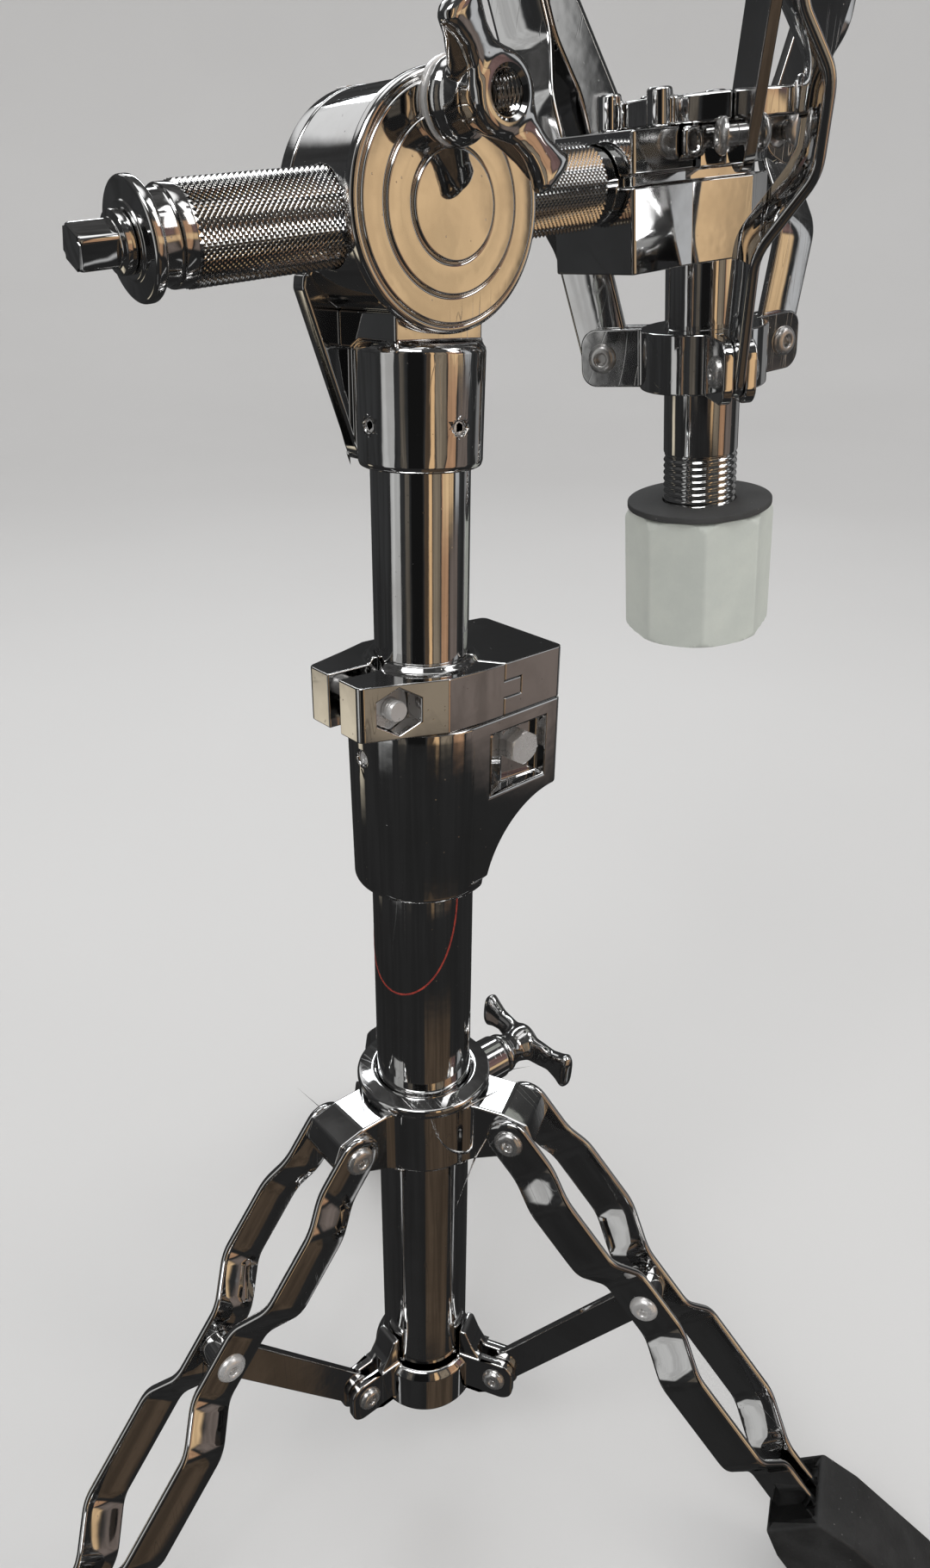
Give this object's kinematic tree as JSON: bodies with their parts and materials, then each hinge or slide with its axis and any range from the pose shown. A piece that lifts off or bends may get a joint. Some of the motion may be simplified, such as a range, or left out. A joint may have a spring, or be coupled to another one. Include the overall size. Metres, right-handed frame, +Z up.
{
  "type": "snare drum stand",
  "caption": "Folding chrome tripod stand with a height clamp, a tilting offset arm and a three-armed basket that opens and closes on a drum.",
  "frame": {"origin": "on the axis of the upright tube, at floor level", "axes": "+Z up along the upright tube; +X the way the tilter arm carries the basket at rest; the tilter's front disc faces -Y"},
  "size_m": [0.4096, 0.3678, 0.6198],
  "materials": {
    "chrome": "mirror plated",
    "zinc": "bright zinc plated",
    "black_rubber": "moulded matt",
    "nylon": "satin",
    "knob_plastic": "satin moulded",
    "washer_fibre": "matt"
  },
  "bodies": {
    "base": {"lower_tube": "chrome", "tube_clamp": "chrome", "tube_clamp_bolt": "zinc", "tube_clamp_set_screw": "zinc", "spider": "chrome", "spider_rivets": "zinc"},
    "clamp_wing": {"clamp_wing_nut": "chrome"},
    "collar": {"leg_collar": "chrome", "collar_rivets": "zinc"},
    "collar_screw": {"collar_wing_screw": "chrome"},
    "sleeve": {"guide_bushing": "nylon"},
    "memory_lock": {"memory_lock_back": "chrome", "memory_lock_front": "chrome", "memory_lock_pin": "zinc", "memory_lock_bolt": "zinc", "memory_lock_nut": "zinc"},
    "column": {"upper_tube": "chrome", "tilter_bracket": "chrome", "bracket_set_screws": "zinc", "tilter_front_cap": "chrome", "tilter_bolt": "zinc"},
    "tilt_wing": {"tilter_wing_nut": "chrome"},
    "drum": {"tilter_drum": "chrome"},
    "offset_arm": {"knurled_arm": "chrome", "arm_end_flange": "chrome"},
    "drawbolt": {"arm_drawbolt": "chrome"},
    "basket": {"basket_block": "chrome", "basket_cover": "chrome", "cover_bolt": "zinc", "basket_tube": "chrome", "upper_hub": "chrome", "upper_hub_rivets": "zinc"},
    "sliding_hub": {"lower_hub": "chrome", "lower_hub_rivets": "zinc"},
    "knob_ring": {"knob_washer": "washer_fibre"},
    "knob": {"basket_knob": "knob_plastic"},
    "leg_1": {"leg_1_strap_a": "chrome", "leg_1_strap_b": "chrome", "leg_1_rivet": "zinc", "leg_1_foot": "black_rubber"},
    "brace_1": {"brace_1": "chrome"},
    "leg_2": {"leg_2_strap_a": "chrome", "leg_2_strap_b": "chrome", "leg_2_rivet": "zinc", "leg_2_foot": "black_rubber"},
    "brace_2": {"brace_2": "chrome"},
    "leg_3": {"leg_3_strap_a": "chrome", "leg_3_strap_b": "chrome", "leg_3_rivet": "zinc", "leg_3_foot": "black_rubber"},
    "brace_3": {"brace_3": "chrome"},
    "arm_1": {"basket_arm_1": "chrome", "arm_tip_1": "black_rubber"},
    "link_1": {"basket_link_1": "chrome"},
    "arm_2": {"basket_arm_2": "chrome", "arm_tip_2": "black_rubber"},
    "link_2": {"basket_link_2": "chrome"},
    "arm_3": {"basket_arm_3": "chrome", "arm_tip_3": "black_rubber"},
    "link_3": {"basket_link_3": "chrome"}
  },
  "joints": [
    {"name": "clamp_wing_turn", "type": "hinge", "parent": "base", "child": "clamp_wing", "pos_m": [0.024, 0.017, 0.303], "axis": [0, 1, 0], "range_deg": [-360, 360]},
    {"name": "collar_slide", "type": "slide", "parent": "base", "child": "collar", "axis": [0, 0, 1], "range_m": [0, 0.033]},
    {"name": "collar_screw_turn", "type": "hinge", "parent": "collar", "child": "collar_screw", "pos_m": [0.035, 0, 0.178], "axis": [1, 0, 0], "range_deg": [-720, 90]},
    {"name": "leg_1_fold", "type": "hinge", "parent": "collar", "child": "leg_1", "pos_m": [-0.033, 0, 0.178], "axis": [0, -1, 0], "range_deg": [0, 31.4]},
    {"name": "brace_1_fold", "type": "hinge", "parent": "base", "child": "brace_1", "pos_m": [-0.029, 0, 0.057], "axis": [0, -1, 0], "range_deg": [-29.84, 0]},
    {"name": "leg_2_fold", "type": "hinge", "parent": "collar", "child": "leg_2", "pos_m": [0.0165, -0.02858, 0.178], "axis": [0.866, 0.5, 0], "range_deg": [0, 31.4]},
    {"name": "brace_2_fold", "type": "hinge", "parent": "base", "child": "brace_2", "pos_m": [0.0145, -0.02511, 0.057], "axis": [0.866, 0.5, 0], "range_deg": [-29.84, 0]},
    {"name": "leg_3_fold", "type": "hinge", "parent": "collar", "child": "leg_3", "pos_m": [0.0165, 0.02858, 0.178], "axis": [-0.866, 0.5, 0], "range_deg": [0, 31.4]},
    {"name": "brace_3_fold", "type": "hinge", "parent": "base", "child": "brace_3", "pos_m": [0.0145, 0.02511, 0.057], "axis": [-0.866, 0.5, 0], "range_deg": [-29.84, 0]},
    {"name": "column_swivel", "type": "hinge", "parent": "base", "child": "sleeve", "pos_m": [0, 0, 0.29], "axis": [0, 0, 1], "continuous": true},
    {"name": "memory_lock_slide", "type": "slide", "parent": "sleeve", "child": "memory_lock", "axis": [0, 0, 1], "range_m": [0, 0.06]},
    {"name": "height_slide", "type": "slide", "parent": "memory_lock", "child": "column", "axis": [0, 0, 1], "range_m": [-0.045, 0.07]},
    {"name": "tilt_wing_turn", "type": "hinge", "parent": "column", "child": "tilt_wing", "pos_m": [0, -0.025, 0.4575], "axis": [0, 1, 0], "range_deg": [-720, 360]},
    {"name": "basket_tilt", "type": "hinge", "parent": "column", "child": "drum", "pos_m": [0, 0.0035, 0.438], "axis": [0, 1, 0], "range_deg": [-23, 18]},
    {"name": "arm_slide", "type": "slide", "parent": "drum", "child": "offset_arm", "axis": [0.9925, 0, 0.1219], "range_m": [-0.02, 0.03]},
    {"name": "drawbolt_turn", "type": "hinge", "parent": "offset_arm", "child": "drawbolt", "pos_m": [-0.07444, 0.004, 0.42886], "axis": [0.9925, 0, 0.1219], "range_deg": [-180, 720]},
    {"name": "basket_roll", "type": "hinge", "parent": "offset_arm", "child": "basket", "pos_m": [0.05955, 0.004, 0.44531], "axis": [0.9925, 0, 0.1219], "range_deg": [-45, 45]},
    {"name": "basket_open", "type": "slide", "parent": "basket", "child": "sliding_hub", "axis": [-0.1219, 0, 0.9925], "range_m": [-0.018, 0]},
    {"name": "arm_1_open", "type": "hinge", "parent": "basket", "child": "arm_1", "pos_m": [0.08731, -0.02098, 0.45728], "axis": [0.813, -0.5736, 0.0998], "range_deg": [0, 36.48]},
    {"name": "link_1_open", "type": "hinge", "parent": "sliding_hub", "child": "link_1", "pos_m": [0.09425, -0.02098, 0.40071], "axis": [0.813, -0.5736, 0.0998], "range_deg": [0, 16.51]},
    {"name": "arm_2_open", "type": "hinge", "parent": "basket", "child": "arm_2", "pos_m": [0.13483, 0.00134, 0.46312], "axis": [0.0865, 0.9962, 0.0106], "range_deg": [0, 36.48]},
    {"name": "link_2_open", "type": "hinge", "parent": "sliding_hub", "child": "link_2", "pos_m": [0.14177, 0.00134, 0.40654], "axis": [0.0865, 0.9962, 0.0106], "range_deg": [0, 16.51]},
    {"name": "arm_3_open", "type": "hinge", "parent": "basket", "child": "arm_3", "pos_m": [0.09188, 0.03164, 0.45784], "axis": [-0.8996, -0.4226, -0.1105], "range_deg": [0, 36.48]},
    {"name": "link_3_open", "type": "hinge", "parent": "sliding_hub", "child": "link_3", "pos_m": [0.09882, 0.03164, 0.40127], "axis": [-0.8996, -0.4226, -0.1105], "range_deg": [0, 16.51]},
    {"name": "knob_travel", "type": "slide", "parent": "basket", "child": "knob_ring", "axis": [-0.1219, 0, 0.9925], "range_m": [-0.01, 0.008]},
    {"name": "knob_turn", "type": "hinge", "parent": "knob_ring", "child": "knob", "pos_m": [0.11972, 0.004, 0.33684], "axis": [-0.1219, 0, 0.9925], "range_deg": [-1801, 1441]}
  ],
  "couplings": [
    {"joint": "leg_1_fold", "follows": "collar_slide", "rad_per_m": 16.6},
    {"joint": "brace_1_fold", "follows": "collar_slide", "rad_per_m": -15.779},
    {"joint": "leg_2_fold", "follows": "collar_slide", "rad_per_m": 16.6},
    {"joint": "brace_2_fold", "follows": "collar_slide", "rad_per_m": -15.779},
    {"joint": "leg_3_fold", "follows": "collar_slide", "rad_per_m": 16.6},
    {"joint": "brace_3_fold", "follows": "collar_slide", "rad_per_m": -15.779},
    {"joint": "arm_1_open", "follows": "basket_open", "rad_per_m": -35.364},
    {"joint": "link_1_open", "follows": "basket_open", "rad_per_m": -16.003},
    {"joint": "arm_2_open", "follows": "basket_open", "rad_per_m": -35.364},
    {"joint": "link_2_open", "follows": "basket_open", "rad_per_m": -16.003},
    {"joint": "arm_3_open", "follows": "basket_open", "rad_per_m": -35.364},
    {"joint": "link_3_open", "follows": "basket_open", "rad_per_m": -16.003},
    {"joint": "knob_turn", "follows": "knob_travel", "rad_per_m": 3141.6}
  ]
}
